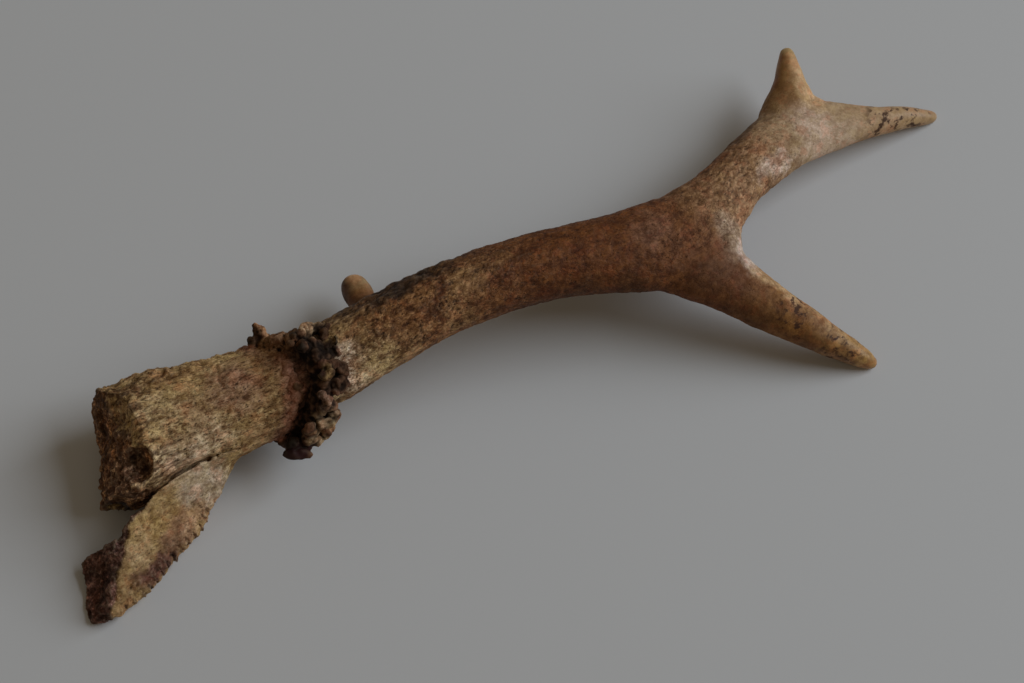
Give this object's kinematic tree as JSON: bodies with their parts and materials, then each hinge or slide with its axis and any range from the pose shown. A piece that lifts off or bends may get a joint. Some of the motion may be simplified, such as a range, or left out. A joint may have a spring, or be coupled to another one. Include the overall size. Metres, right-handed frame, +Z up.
{
  "type": "deer antler",
  "caption": "Deer antler with a knobbly burr, curved beam, forked crown and pointed tines, on its pedicle with a broken piece of skull roof. It lies on its side as a display piece.",
  "frame": {"origin": "on the table, under the middle of the whole antler and skull piece", "axes": "+X from the broken skull piece towards the tine tips, +Z up from the table the antler lies on, +Y towards the side of the rear tine"},
  "size_m": [0.3106, 0.1124, 0.038],
  "materials": {
    "skull_bone": "matte",
    "antler_beam": "satin",
    "antler_crown": "satin",
    "antler_tine": "satin"
  },
  "bodies": {
    "root": {"skull_piece": "skull_bone", "lower_beam": "antler_beam", "upper_beam": "antler_crown", "front_tine": "antler_tine", "rear_tine": "antler_tine", "top_tine": "antler_tine"}
  },
  "joints": []
}
